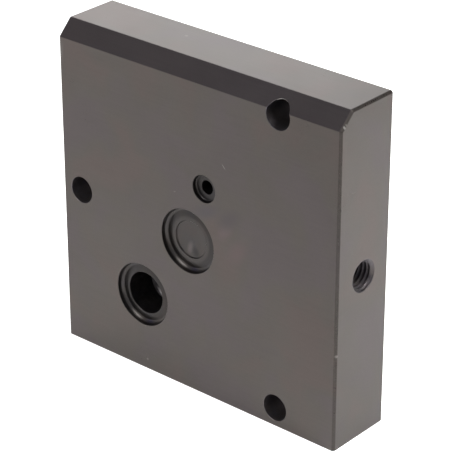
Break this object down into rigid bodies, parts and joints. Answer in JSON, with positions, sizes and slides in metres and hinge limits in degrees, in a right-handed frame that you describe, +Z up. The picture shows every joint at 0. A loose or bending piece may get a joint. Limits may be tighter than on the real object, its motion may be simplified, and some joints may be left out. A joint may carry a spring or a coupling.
{
  "type": "valve end plate",
  "caption": "Rectangular steel end plate that closes a stack of hydraulic spool valves, with tie-rod holes, O-ring recesses and a tapped side port.",
  "frame": {"origin": "middle of the bottom face; the plate stands on that face", "axes": "+Z up; -Y out of the sealing face, across the thickness; +X out of the side with the tapped port"},
  "size_m": [0.1106, 0.0242, 0.11],
  "materials": {
    "dark_steel": "dark phosphated, satin"
  },
  "bodies": {
    "root": {"end_plate": "dark_steel"}
  },
  "joints": []
}
